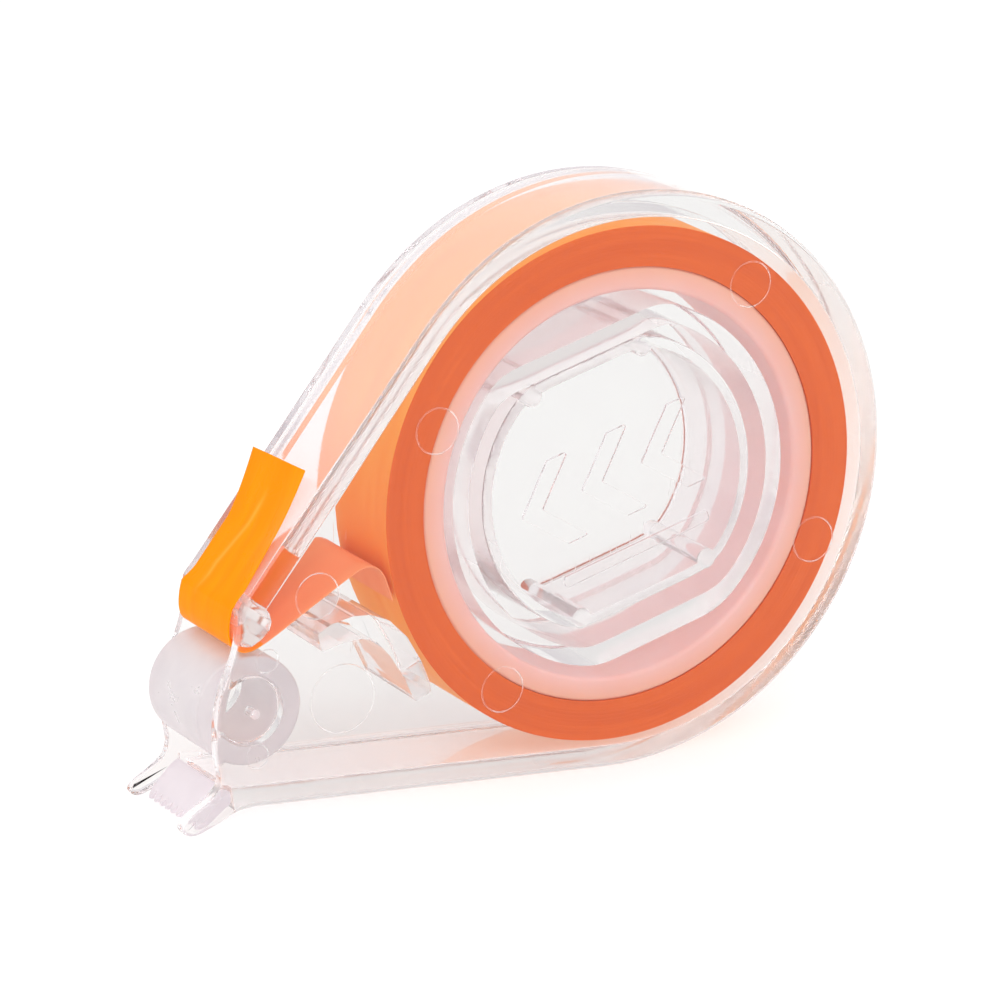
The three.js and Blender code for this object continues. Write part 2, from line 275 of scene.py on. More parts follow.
# -------------------------------------------------------------------- meshes
def new_object(name, verts, faces):
    mesh = bpy.data.meshes.new(name)
    mesh.from_pydata([tuple(v) for v in verts], [], [tuple(int(i) for i in f) for f in faces])
    bm = bmesh.new()
    bm.from_mesh(mesh)
    bmesh.ops.remove_doubles(bm, verts=bm.verts, dist=1e-5)
    bmesh.ops.recalc_face_normals(bm, faces=bm.faces)
    bm.to_mesh(mesh)
    bm.free()
    ob = bpy.data.objects.new(name, mesh)
    bpy.context.scene.collection.objects.link(ob)
    return ob


def rprism(name, pts, y0, y1, r0=0.0, r1=0.0, seg=4, draft=0.0, flare0=False, flare1=False):
    """A prism of the outline from y0 to y1 with round edges of r0 and r1. A flare spreads outward in place of rounding in. draft is how much it shrinks from y0 to y1."""
    pts = np.asarray(pts, float)
    nrm = normals_of(pts, True)
    rings = []
    if r0 > 0:
        for k in range(seg + 1):
            a = k / seg * math.pi / 2
            rings.append((r0 * (1 - math.sin(a)) * (-1 if flare0 else 1), y0 + r0 * (1 - math.cos(a))))
    else:
        rings.append((0.0, y0))
    if r1 > 0:
        for k in range(seg + 1):
            a = k / seg * math.pi / 2
            rings.append((r1 * (1 - math.cos(a)) * (-1 if flare1 else 1), y1 - r1 * (1 - math.sin(a))))
    else:
        rings.append((0.0, y1))
    n = len(pts)
    verts = []
    for inset, y in rings:
        q = pts + nrm * (inset + draft * (y - y0) / (y1 - y0))
        verts.extend((a, y, b) for a, b in q)
    faces = []
    for j in range(len(rings) - 1):
        for i in range(n):
            k = (i + 1) % n
            faces.append((j * n + i, j * n + k, (j + 1) * n + k, (j + 1) * n + i))
    faces.append(tuple(range(n)))
    faces.append(tuple((len(rings) - 1) * n + i for i in reversed(range(n))))
    return new_object(name, verts, faces)


def lathe(name, profile, centre, n=128):
    """Closed profile of (r, y) turned about the y direction through centre."""
    a = np.arange(n) * 2 * math.pi / n
    m = len(profile)
    verts = []
    for ang in a:
        for r, y in profile:
            verts.append((centre[0] + r * math.cos(ang), y, centre[1] + r * math.sin(ang)))
    faces = []
    for i in range(n):
        for j in range(m):
            faces.append((i * m + j, i * m + (j + 1) % m, ((i + 1) % n) * m + (j + 1) % m, ((i + 1) % n) * m + j))
    return new_object(name, verts, faces)


def boolean(base, tool, how):
    m = base.modifiers.new("cut", "BOOLEAN")
    m.operation = how
    m.solver = "MANIFOLD"
    m.object = tool
    bpy.context.view_layer.update()
    dg = bpy.context.evaluated_depsgraph_get()
    mesh = bpy.data.meshes.new_from_object(base.evaluated_get(dg), depsgraph=dg)
    base.modifiers.clear()
    old = base.data
    base.data = mesh
    bpy.data.meshes.remove(old)
    data = tool.data
    bpy.data.objects.remove(tool)
    bpy.data.meshes.remove(data)
    if len(mesh.polygons) == 0:
        raise RuntimeError("boolean left nothing in " + base.name)
    return base


def add(base, tool):
    return boolean(base, tool, "UNION")


def cut(base, tool):
    return boolean(base, tool, "DIFFERENCE")


def bead(name, c, r, y, w=0.09, n=64):
    """A thin round bead in a ring, as an ejector pin leaves."""
    prof = [(r + w * math.cos(t), y + w * math.sin(t)) for t in np.arange(8) * math.pi / 4 + 0.2]
    return lathe(name, prof, c, n)


def wire(name, path, w, n=6, closed=False):
    """A fine round line along 3-D points."""
    p = np.asarray(path, float)
    t = np.gradient(p, axis=0)
    t /= np.maximum(np.linalg.norm(t, axis=1, keepdims=True), 1e-9)
    side = np.cross(t, (0, 1, 0))
    side /= np.maximum(np.linalg.norm(side, axis=1, keepdims=True), 1e-9)
    up = np.cross(side, t)
    verts, faces = [], []
    m = len(p)
    for i in range(m):
        f = min(1.0, 0.25 + min(i, m - 1 - i) * 0.4) * w
        for k in range(n):
            a = 2 * math.pi * k / n
            verts.append(p[i] + side[i] * math.cos(a) * f + up[i] * math.sin(a) * f)
    for i in range(m - 1):
        for k in range(n):
            faces.append((i * n + k, i * n + (k + 1) % n, (i + 1) * n + (k + 1) % n, (i + 1) * n + k))
    faces.append(tuple(range(n)))
    faces.append(tuple((m - 1) * n + k for k in reversed(range(n))))
    return new_object(name, verts, faces)


def done(ob, name, body, material, angle=32, weighted=True, side_material=None):
    """Into the frame, smooth shaded, with its material, and riding on its body."""
    ob.name = name
    me = ob.data
    me.name = name
    co = np.empty(len(me.vertices) * 3, np.float64)
    me.vertices.foreach_get("co", co)
    me.vertices.foreach_set("co", to_frame(co).astype(np.float32).ravel())
    me.polygons.foreach_set("use_smooth", np.ones(len(me.polygons), bool))
    me.update()
    me.set_sharp_from_angle(angle=math.radians(angle))
    me.materials.clear()
    me.materials.append(material)
    if weighted:
        m = ob.modifiers.new("normals", "WEIGHTED_NORMAL")
        m.mode = "FACE_AREA"
        m.weight = 90
        m.keep_sharp = True
    if side_material is not None:
        # faces that stand across the case's thickness come off a less polished part of the mould
        me.materials.append(side_material)
        for poly in me.polygons:
            if abs(poly.normal.y) < 0.6:
                poly.material_index = 1
    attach(ob, body)
    return ob


# ----------------------------------------------------------------- materials
def srgb(r, g, b):
    def f(v):
        v = v / 255
        return v / 12.92 if v <= 0.04045 else ((v + 0.055) / 1.055) ** 2.4
    return (f(r), f(g), f(b), 1.0)


class Mat:
    def __init__(self, name):
        self.m = bpy.data.materials.new(name)
        self.m.use_nodes = True
        self.nt = self.m.node_tree
        self.nt.nodes.clear()
        self.out = self.node("ShaderNodeOutputMaterial")
        self.coord = self.node("ShaderNodeTexCoord").outputs["Object"]

    def node(self, kind, **props):
        n = self.nt.nodes.new(kind)
        for k, v in props.items():
            setattr(n, k, v)
        return n

    def link(self, a, b):
        self.nt.links.new(a, b)

    def put(self, socket, v):
        if hasattr(v, "links") or isinstance(v, bpy.types.NodeSocket):
            self.link(v, socket)
        else:
            socket.default_value = v

    def math(self, op, a, b=None, clamp=False):
        n = self.node("ShaderNodeMath", operation=op, use_clamp=clamp)
        self.put(n.inputs[0], a)
        if b is not None:
            self.put(n.inputs[1], b)
        return n.outputs[0]

    def noise(self, scale, detail=2.0, rough=0.5, vector=None, distortion=0.0, dims="3D"):
        n = self.node("ShaderNodeTexNoise", noise_dimensions=dims)
        self.put(n.inputs["Vector"], self.coord if vector is None else vector)
        n.inputs["Scale"].default_value = scale
        n.inputs["Detail"].default_value = detail
        n.inputs["Roughness"].default_value = rough
        n.inputs["Distortion"].default_value = distortion
        return n.outputs[0]

    def mapped(self, scale=(1, 1, 1), rot=(0, 0, 0), vector=None):
        n = self.node("ShaderNodeMapping")
        self.put(n.inputs["Vector"], self.coord if vector is None else vector)
        n.inputs["Scale"].default_value = scale
        n.inputs["Rotation"].default_value = rot
        return n.outputs[0]

    def ramp(self, v, a0, a1, b0, b1):
        n = self.node("ShaderNodeMapRange")
        self.put(n.inputs["Value"], v)
        n.inputs["From Min"].default_value = a0
        n.inputs["From Max"].default_value = a1
        n.inputs["To Min"].default_value = b0
        n.inputs["To Max"].default_value = b1
        return n.outputs[0]

    def mix(self, f, a, b):
        n = self.node("ShaderNodeMix", data_type="RGBA")
        self.put(n.inputs[0], f)
        self.put(n.inputs[6], a)
        self.put(n.inputs[7], b)
        return n.outputs[2]

    def bump(self, height, distance, strength=1.0, chain=None):
        n = self.node("ShaderNodeBump")
        self.put(n.inputs["Height"], height)
        n.inputs["Distance"].default_value = distance
        n.inputs["Strength"].default_value = strength
        if chain is not None:
            self.link(chain, n.inputs["Normal"])
        return n.outputs[0]

    def principled(self, color, rough, normal=None, **fixed):
        n = self.node("ShaderNodeBsdfPrincipled")
        self.put(n.inputs["Base Color"], color)
        self.put(n.inputs["Roughness"], rough)
        if normal is not None:
            self.link(normal, n.inputs["Normal"])
        for k, v in fixed.items():
            n.inputs[k.replace("_", " ")].default_value = v
        return n

    def surface(self, shader):
        self.link(shader, self.out.inputs["Surface"])
        return self.m


def see_through(mat, glass, tint):
    """Lamp light and bounced light pass straight through, so that what is inside is lit, and so does light that has
    been trapped in a plate for many bounces. That trapped light comes out dimmed to a lilac grey, a painted shade for
    the plates' darker edges.
    """
    path = mat.node("ShaderNodeLightPath")
    f = mat.math("MAXIMUM", path.outputs["Is Shadow Ray"], path.outputs["Is Diffuse Ray"])
    trapped = mat.math("GREATER_THAN", path.outputs["Ray Depth"], 9.5)
    f = mat.math("MAXIMUM", f, trapped)
    clear = mat.node("ShaderNodeBsdfTransparent")
    # rays past many bounces get the darker lilac-grey tint: painted shade
    mat.link(mat.mix(trapped, tint, (0.905, 0.89, 0.9, 1)), clear.inputs["Color"])
    mixer = mat.node("ShaderNodeMixShader")
    mat.link(f, mixer.inputs[0])
    mat.link(glass, mixer.inputs[1])
    mat.link(clear.outputs[0], mixer.inputs[2])
    return mixer.outputs[0]


def clear_plastic(name, tint, seed, clear, rough0, rough1, mirror, wave=0.00016):
    """Clear moulded plastic, a trace milky, with flow lines, fine scratches and faint smudges."""
    m = Mat(name)
    waves = m.noise(45 + seed, 1.5, 0.45)
    flow = m.noise(1.0, 3.0, 0.6, vector=m.mapped((260, 90, 200), (0, 0.5 + 0.1 * seed, 0)))
    fine = m.noise(1.0, 2.0, 0.6, vector=m.mapped((2600, 300, 160), (0.0, 0.7, 0.2)))
    scratch = m.ramp(fine, 0.66, 0.72, 0.0, 1.0)
    smudge = m.noise(120, 4.0, 0.65, distortion=1.2)
    rough = m.math("ADD", m.ramp(smudge, 0.35, 0.8, rough0, rough1), m.math("MULTIPLY", scratch, 0.05))
    colour = m.mix(m.ramp(flow, 0.3, 0.7, 0.0, 1.0), tint, (tint[0] * 0.99, tint[1] * 0.985, tint[2] * 0.988, 1))
    b = m.bump(waves, wave, 1.0)
    b = m.bump(flow, wave * 0.03, 1.0, chain=b)
    b = m.bump(scratch, 0.000004, 1.0, chain=b)
    g = m.principled(colour, rough, b, IOR=1.49, Transmission_Weight=clear)
    g.inputs["Specular Tint"].default_value = (mirror, mirror, mirror, 1)
    return m.surface(see_through(m, g.outputs[0], (0.975, 0.965, 0.972, 1)))


def milky_plastic(name):
    m = Mat(name)
    cloud = m.noise(180, 4.0, 0.6, distortion=0.8)
    grain = m.noise(2200, 2.0, 0.5)
    colour = m.mix(m.ramp(cloud, 0.3, 0.75, 0, 1), srgb(232, 226, 227), srgb(223, 217, 220))
    swell = m.noise(70, 1.0, 0.4)
    rough = m.ramp(cloud, 0.3, 0.75, 0.26, 0.4)
    b = m.bump(grain, 0.0000006)
    b = m.bump(swell, 0.00001, 0.5, chain=b)
    g = m.principled(colour, rough, b, IOR=1.46, Transmission_Weight=0.5)
    return m.surface(see_through(m, g.outputs[0], (0.95, 0.945, 0.947, 1)))


def frosted_plastic(name):
    m = Mat(name)
    grain = m.noise(3800, 3.0, 0.6)
    cloud = m.noise(420, 3.0, 0.6)
    colour = m.mix(cloud, srgb(240, 233, 237), srgb(232, 225, 230))
    rough = m.ramp(cloud, 0.3, 0.7, 0.28, 0.42)
    b = m.bump(grain, 0.000006)
    g = m.principled(colour, rough, b, IOR=1.5, Transmission_Weight=0.42)
    return m.surface(see_through(m, g.outputs[0], (0.94, 0.92, 0.935, 1)))


def roll_side():
    """Edges of the wound tape: fine rings about the roll's axis. Its outer face gets its own paler tape material, a
    painted sheen.
    """
    m = Mat("wound_tape")
    sub = m.node("ShaderNodeVectorMath", operation="SUBTRACT")
    m.link(m.coord, sub.inputs[0])
    sub.inputs[1].default_value = (ROLL_AXIS.x, ROLL_AXIS.y, ROLL_AXIS.z)
    sep = m.node("ShaderNodeSeparateXYZ")
    m.link(sub.outputs[0], sep.inputs[0])
    x, y, z = sep.outputs
    r = m.math("SQRT", m.math("ADD", m.math("MULTIPLY", x, x), m.math("MULTIPLY", z, z)))
    ang = m.math("ARCTAN2", z, x)
    comb = m.node("ShaderNodeCombineXYZ")
    m.link(m.math("MULTIPLY", r, 3000.0), comb.inputs[0])
    m.link(m.math("MULTIPLY", m.math("ABSOLUTE", ang), 1.3), comb.inputs[1])
    m.link(m.math("MULTIPLY", y, 60.0), comb.inputs[2])
    rings = m.noise(1.0, 3.0, 0.6, vector=comb.outputs[0])
    comb2 = m.node("ShaderNodeCombineXYZ")
    m.link(m.math("MULTIPLY", r, 700.0), comb2.inputs[0])
    m.link(m.math("MULTIPLY", m.math("ABSOLUTE", ang), 1.1), comb2.inputs[1])
    broad = m.noise(1.0, 2.0, 0.5, vector=comb2.outputs[0])
    speck = m.noise(1500, 3.0, 0.7)
    c = m.mix(m.ramp(rings, 0.3, 0.7, 0, 1), srgb(224, 92, 26), srgb(238, 108, 38))
    c = m.mix(m.ramp(broad, 0.3, 0.7, 0, 0.5), c, srgb(214, 86, 30))
    c = m.mix(m.ramp(speck, 0.55, 0.75, 0, 0.35), c, srgb(204, 78, 28))
    c = m.mix(m.ramp(speck, 0.2, 0.38, 0.25, 0.0), c, srgb(252, 132, 66))
    rough = m.ramp(rings, 0.2, 0.8, 0.42, 0.62)
    b = m.bump(rings, 0.00003)
    b = m.bump(speck, 0.00002, 0.6, chain=b)
    p = m.principled(c, rough, b, IOR=1.45)
    p.inputs["Specular IOR Level"].default_value = 0.2
    return m.surface(p.outputs[0])


def tape_face(name, base, dark, rough0=0.24, rough1=0.36, painted_highlight=None):
    """Smooth printed film: soft streaks along the strip and a little mottle."""
    m = Mat(name)
    streak = m.noise(1.0, 3.0, 0.55, vector=m.mapped((60, 420, 60), (0, 0, 0)))
    mottle = m.noise(240, 4.0, 0.6, distortion=0.6)
    fine = m.noise(2600, 2.0, 0.6)
    c = m.mix(m.ramp(streak, 0.3, 0.75, 0, 1), base, dark)
    c = m.mix(m.ramp(mottle, 0.45, 0.8, 0.0, 0.35), c, dark)
    if painted_highlight is not None:
        # painted highlight: a soft pale streak that wanders down the free tab, standing in for light caught on a crease
        sep = m.node("ShaderNodeSeparateXYZ")
        m.link(m.coord, sep.inputs[0])
        x, y, z = sep.outputs
        mid = m.ramp(z, 0.0365, 0.0285, 0.0002, 0.0026)
        near = m.math("SUBTRACT", 1.0, m.math("DIVIDE", m.math("ABSOLUTE", m.math("SUBTRACT", y, mid)), 0.0009), clamp=True)
        span = m.math("MULTIPLY", m.ramp(z, 0.0375, 0.0350, 0.0, 1.0), m.ramp(z, 0.0250, 0.0275, 0.0, 1.0))
        near = m.math("MULTIPLY", m.math("MULTIPLY", near, near), m.math("MULTIPLY", span, 0.55))
        c = m.mix(near, c, painted_highlight)
    rough = m.ramp(mottle, 0.25, 0.8, rough0, rough1)
    b = m.bump(mottle, 0.00009)
    b = m.bump(streak, 0.00005, 0.8, chain=b)
    b = m.bump(fine, 0.000003, 0.6, chain=b)
    p = m.principled(c, rough, b, IOR=1.46)
    p.inputs["Specular IOR Level"].default_value = 0.03
    return m.surface(p.outputs[0])


def core_plastic():
    """Translucent salmon-pink core: paler towards its bore."""
    m = Mat("core_plastic")
    sub = m.node("ShaderNodeVectorMath", operation="SUBTRACT")
    m.link(m.coord, sub.inputs[0])
    sub.inputs[1].default_value = (ROLL_AXIS.x, ROLL_AXIS.y, ROLL_AXIS.z)
    sep = m.node("ShaderNodeSeparateXYZ")
    m.link(sub.outputs[0], sep.inputs[0])
    x, y, z = sep.outputs
    r = m.math("SQRT", m.math("ADD", m.math("MULTIPLY", x, x), m.math("MULTIPLY", z, z)))
    cloud = m.noise(160, 3.0, 0.6)
    grain = m.noise(1900, 3.0, 0.6)
    t = m.ramp(r, 0.0232, 0.0258, 0.0, 1.0)
    c = m.mix(t, srgb(243, 196, 190), srgb(246, 178, 150))
    c = m.mix(m.ramp(cloud, 0.35, 0.75, 0, 0.4), c, srgb(240, 176, 160))
    rough = m.ramp(grain, 0.3, 0.7, 0.3, 0.45)
    b = m.bump(grain, 0.00001)
    b = m.bump(cloud, 0.00008, 0.5, chain=b)
    p = m.principled(c, rough, b, IOR=1.47)
    p.inputs["Subsurface Weight"].default_value = 0.35
    p.inputs["Subsurface Radius"].default_value = (1.0, 0.5, 0.35)
    p.inputs["Subsurface Scale"].default_value = 0.0012
    return m.surface(p.outputs[0])


CLEAR_FRONT = clear_plastic("clear_front", (0.9, 0.898, 0.892, 1), 0, 1.0, 0.01, 0.035, 0.45)
CLEAR_REAR = clear_plastic("clear_rear", (0.9, 0.898, 0.892, 1), 3, 1.0, 0.01, 0.035, 0.45)
WALL_FRONT = clear_plastic("clear_wall_front", (0.985, 0.972, 0.976, 1), 1, 0.86, 0.05, 0.09, 0.6, 0.00004)
WALL_REAR = clear_plastic("clear_wall_rear", (0.985, 0.972, 0.976, 1), 4, 0.86, 0.05, 0.09, 0.6, 0.00004)
MILKY = milky_plastic("milky_roller")
FROST = frosted_plastic("frosted_cutter")
ROLL_MAT = roll_side()
CORE_MAT = core_plastic()
# the tab's face carries a painted highlight streak, srgb(255, 186, 78)
FACE_MAT = tape_face("tape_face", srgb(255, 152, 0), srgb(253, 140, 0), painted_highlight=srgb(255, 186, 78))
# paler copies of the same orange tape, for the leader inside the case and the roll's outer face: painted sheen standing
# in for the light the clear wall in front of them reflects
INSIDE_SHEEN_MAT = tape_face("tape_inside_painted_sheen", srgb(254, 163, 114), srgb(248, 149, 102), 0.35, 0.5)
ROLLFACE_SHEEN_MAT = tape_face("tape_roll_face_painted_sheen", srgb(255, 167, 82), srgb(251, 151, 70), 0.3, 0.45)

# ---------------------------------------------------------- shell of the case
DRAFT = 0.55                      # how much smaller the rear is than the front


def at_y(line_pts, y, d, closed):
    """The outline or wall line moved inside by d at depth y, draft included."""
    return offset(line_pts, d + DRAFT * (y + CASE_Y) / (2 * CASE_Y), closed)


def cavity(name, d, y0, y1, r0=0.0, r1=0.0):
    """What is cut out of the case inside its wall, open at the cheek. d is a depth below the outside, or None for the wall's own inner face."""
    inner = inner_face(-50.85, SLANT) if d is None else at_y(WALL_LINE, 0, d, False)
    n = normals_of(WALL_LINE, False)
    pts = np.vstack([
        inner,
        [WALL_LINE[-1] - n[-1] * 4.0],
        [(-66, -16)],
        [(-66, -42)],
        [WALL_LINE[0] - n[0] * 6.0],
    ])
    return rprism(name, pts, y0, y1, r0, r1, seg=4)


NOSE = filleted([
    (-47.9, -5.3), (-49.45, -6.85), (-50.0, -8.6), (-50.05, -10.3), (-49.75, -11.15), (-49.05, -11.7),
    (-48.1, -11.75), (-46.9, -11.1), (-45.9, -10.2), (-45.6, -9.2), (-45.9, -8.2), (-47.0, -6.2),
], 0.5, 0.4, 3)
FINGER = filleted([
    (-39.8, -11.64), (-39.36, -13.83), (-36.74, -13.19), (-33.99, -13.1), (-32.16, -13.83),
    (-30.56, -15.7), (-29.07, -18.09), (-27.35, -21.72), (-25.2, -20.9), (-25.35, -19.79),
    (-26.5, -17.01), (-28.35, -13.75), (-30.6, -11.45), (-33.04, -10.37), (-35.34, -10.21),
    (-38.08, -10.73),
], 0.35, 0.5, 4)

front = rprism("front", OUTLINE, YF, SEAM_Y, 0.8, 0.12, seg=6, draft=DRAFT * (SEAM_Y - YF) / (2 * CASE_Y))
cut(front, cavity("c1", None, YFI, 12, r0=0.2))
cut(front, cavity("c2", REBATE_T, REBATE_Y, 12))
add(front, rprism("n", NOSE, YFI - 0.4, SEAM_Y, 0, 0.3))
add(front, rprism("f", FINGER, YFI - 0.4, SEAM_Y - 0.2, 0, 0.25, draft=0.12))
hub = rprism("h", flatted(HUB_C, 22.0, 18.9, 20.3, HUB_DEG), YFI - 0.4, 5.8, 0, 0.35, draft=0.15)
cut(hub, rprism("hi", flatted(HUB_C, 19.9, 16.2, 17.6, HUB_DEG), YFI - 2, 7.0, 0, 0, draft=-0.15))
add(front, hub)
add(front, rprism("b", circle(ROLLER_C, 4.0), YFI - 0.4, YFI + 2.2, 0, 0.2))
cut(front, rprism("bh", circle(ROLLER_C, 0.6, 24), YF - 1, YFI + 1.2, 0, 0.3))

# ejector pin marks on the inside of the front plate
for i, (cx, cz, r) in enumerate([
    (-24.3, 10.1, 2.7), (17.0, 21.95, 2.7), (26.05, -10.4, 2.7), (-15.9, -22.2, 2.7), (-39.8, -7.1, 2.7),
    (-36.7, -19.8, 4.1), (-46.2, -13.8, 1.4), (-47.6, -24.95, 1.4),
]):
    add(front, bead("e%d" % i, (cx, cz), r, YFI, 0.075))

# plain moulded chevrons on the inside of the front plate, in the middle of the hub
cu, su = math.cos(math.radians(HUB_DEG)), math.sin(math.radians(HUB_DEG))


def on_hub(pts, dx=0.0, dz=0.0):
    p = np.asarray(pts, float) + (dx, dz)
    return np.c_[p[:, 0] * cu - p[:, 1] * su + HUB_C[0], p[:, 0] * su + p[:, 1] * cu + HUB_C[1]]


for i, dx in enumerate((-9.6, -1.4, 6.8)):
    chevron = [(-3.3, 0.0), (1.6, -5.4), (4.4, -5.4), (-0.5, 0.0), (4.4, 5.4), (1.6, 5.4)]
    add(front, rprism("ch%d" % i, filleted(on_hub(chevron, dx, 1.2), 0.3, 0.6), YFI - 0.2, YFI + 0.4, 0, 0.06, seg=2))
bar = [(-10.0, -0.7), (10.0, -0.7), (10.0, 0.7), (-10.0, 0.7)]
add(front, rprism("bar", filleted(on_hub(bar, 0.2, -8.6), 0.6, 0.8), YFI - 0.2, YFI + 0.4, 0, 0.06, seg=2))

done(front, "front_case", "case", CLEAR_FRONT, side_material=WALL_FRONT)
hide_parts("front_shell")

# ------------------------------------------------------------------ rear half
rear = rprism("rear", offset(OUTLINE, DRAFT * (SEAM_Y + GAP - YF) / (2 * CASE_Y)), SEAM_Y + GAP, YR, 0.12, 0.8, seg=6, draft=DRAFT * (YR - SEAM_Y - GAP) / (2 * CASE_Y))
cut(rear, cavity("c3", None, 0, YRI, r1=0.2))
lip_line = WALL_LINE[3:]
keep = int(np.argmin(np.linalg.norm(lip_line - (ROUND[-1] + 0.78 * (np.asarray(NOSE_TOP) - ROUND[-1])), axis=1)))
lip_line = lip_line[:keep]
lip = np.vstack([at_y(lip_line, 0, REBATE_T + 0.12, False), offset(inner_face(-48.4, 0.78 * SLANT), -0.03, False)[::-1]])
add(rear, rprism("lip", lip, REBATE_Y + GAP, YRI + 0.4, 0.06, 0))
plug = rprism("p", flatted(HUB_C, 17.9, 15.9, 15.2, HUB_DEG, 1.5), -6.2, YRI + 0.4, 0.25, 0, draft=-0.12)
cut(plug, rprism("pi", flatted(HUB_C, 16.7, 14.7, 14.0, HUB_DEG, 1.5), -9, YRI, 0, 0.6, draft=0.15))
u = math.radians(HUB_DEG)
for i, (side, top) in enumerate([(1, 1), (-1, 1), (-1, -1), (1, -1)]):
    v = 15.9 - 1.35 if top > 0 else -(15.2 - 1.35)
    w = side * (math.sqrt((17.9 - 1.35) ** 2 - v * v) - 0.35)
    c = (HUB_C[0] + w * math.cos(u) - v * math.sin(u), HUB_C[1] + w * math.sin(u) + v * math.cos(u))
    add(plug, rprism("pad%d" % i, circle(c, 1.25, 28), -6.2, YRI + 0.3, 0.15, 0))
add(rear, plug)
add(rear, rprism("rb", circle(ROLLER_C, 4.0), YRI - 2.2, YRI + 0.4, 0.2, 0))
done(rear, "rear_case", "cover", CLEAR_REAR, side_material=WALL_REAR)
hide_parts("rear_shell")

# -------------------------------------------------------------- roll and core
rng = np.random.default_rng(7)
R_OUT, R_IN = 30.8, 26.0
steps = 46
rr = np.linspace(R_OUT - 0.03, R_IN + 0.02, steps)
waver = np.cumsum(rng.normal(0, 0.006, steps))
waver = np.clip(waver - waver.mean(), -0.035, 0.035)
front_side = [(r, -TAPE_HALF + 0.04 + w + rng.normal(0, 0.004)) for r, w in zip(rr, waver)]
rear_side = [(r, TAPE_HALF - 0.04 + w + rng.normal(0, 0.004)) for r, w in zip(rr[::-1], waver[::-1])]
rear_side = [(r, min(y, TAPE_HALF)) for r, y in rear_side]
front_side = [(r, max(y, -TAPE_HALF)) for r, y in front_side]
profile = [(R_OUT, TAPE_HALF - 0.1)] + [(R_OUT, y) for y in np.linspace(4, -4, 5)] + [(R_OUT, -TAPE_HALF + 0.1)] + front_side + rear_side
roll = lathe("roll", profile, (0, 0), 220)
roll.data.materials.clear()
done(roll, "wound_roll", "tape", ROLL_MAT, angle=50, weighted=False)
# the roll's outer face takes the paler tape copy, a painted sheen
roll.data.materials.append(ROLLFACE_SHEEN_MAT)
mid = np.array(ROLL_AXIS)
for poly in roll.data.polygons:
    c, n = np.array(poly.center) - mid, poly.normal
    if abs(n.y) < 0.4 and math.hypot(c[0], c[2]) > 0.0306:
        poly.material_index = 1
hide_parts("tape_roll")

core_prof = [
    (25.98, 6.05), (25.98, -6.05), (25.6, -6.35), (23.75, -6.35), (23.45, -6.25), (23.25, -6.0), (23.2, -5.7),
    (23.2, 5.7), (23.25, 6.0), (23.45, 6.25), (23.75, 6.35), (25.6, 6.35),
]
core = lathe("core", core_prof, (0, 0), 200)
done(core, "roll_core", "tape", CORE_MAT, angle=40)
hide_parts("tape_core")

# ---------------------------------------------------------------- tape leader
LEADER = [
    (-30.05, -9.2), (-30.6, -7.5), (-31.15, -6.1), (-31.9, -5.15), (-32.9, -4.75), (-34.0, -4.85),
    (-35.3, -5.45), (-38.5, -7.25), (-42.0, -9.25), (-45.2, -11.1), (-46.7, -11.85), (-48.1, -12.35),
    (-49.3, -12.3), (-50.2, -11.6), (-50.55, -10.5), (-50.5, -8.8),
]
slant_dir = (ROUND[-1] - np.asarray(NOSE_TOP)) / SLANT
slant_out = np.array([-slant_dir[1], slant_dir[0]])
TAB_END, STUCK = 17.0, 8.6        # mm up the slanted wall: the tab's end, and how far it is stuck down
ts = np.r_[np.linspace(-0.4, STUCK, 13), np.linspace(STUCK + 0.7, TAB_END, 12)]


def tab_lift(t, y):
    """How far the middle of the strip stands off the front edge of the wall."""
    f = max(0.0, (t - STUCK) / (TAB_END - STUCK))
    g = min(1.0, max(0.0, (t - 2.0) / (STUCK - 2.0)))
    w = max(0.0, (-2.0 - y) / 4.35)
    draft = DRAFT * (y + CASE_Y) / (2 * CASE_Y) * min(1.0, max(0.0, (t + 0.4) / 2.0)) * (1 - f)
    return 0.02 + 0.6 * g * w * w * (1 - 0.6 * f) - draft + 1.75 * f ** 1.35 + 0.16 * f * (1 - (y / TAPE_HALF) ** 2)


head = catmull(LEADER + [tuple(np.asarray(NOSE_TOP) + slant_dir * ts[0] + slant_out * 0.02)], 8)[:-1]
ny = 28
ys = np.linspace(-TAPE_HALF, TAPE_HALF, ny + 1)
verts = []
tail_mid = np.array([np.asarray(NOSE_TOP) + slant_dir * t + slant_out * tab_lift(t, 0.0) for t in ts])
path = np.vstack([head, tail_mid])
nl = normals_of(path, False)
for side in (0.06, -0.06):
    for p, n in zip(head, nl):
        verts.extend((p[0] + n[0] * side, y, p[1] + n[1] * side) for y in ys)
    for t in ts:
        for y in ys:
            u = t - 0.035 * (y + 2.0) * max(0.0, t - STUCK) / (TAB_END - STUCK)
            q = np.asarray(NOSE_TOP) + slant_dir * u + slant_out * (tab_lift(t, y) + side)
            verts.append((q[0], y, q[1]))
m, k = len(path), ny + 1
faces = []
for i in range(m - 1):
    for j in range(ny):
        a = i * k + j
        faces.append((a, a + 1, a + k + 1, a + k))
        b = m * k + a
        faces.append((b, b + k, b + k + 1, b + 1))
for i in range(m - 1):
    for j, s in ((0, 1), (ny, -1)):
        a, b = i * k + j, (i + 1) * k + j
        faces.append((a, b, m * k + b, m * k + a))
for j in range(ny):
    for i in (0, m - 1):
        a = i * k + j
        faces.append((a, a + 1, m * k + a + 1, m * k + a))
leader = new_object("leader", verts, faces)
in_case = [max(v[0] for v in (leader.data.vertices[i].co for i in poly.vertices)) > -46.5 and poly.center[2] < -4.0 for poly in leader.data.polygons]
done(leader, "tape_tab", "case", FACE_MAT, angle=50, weighted=False)
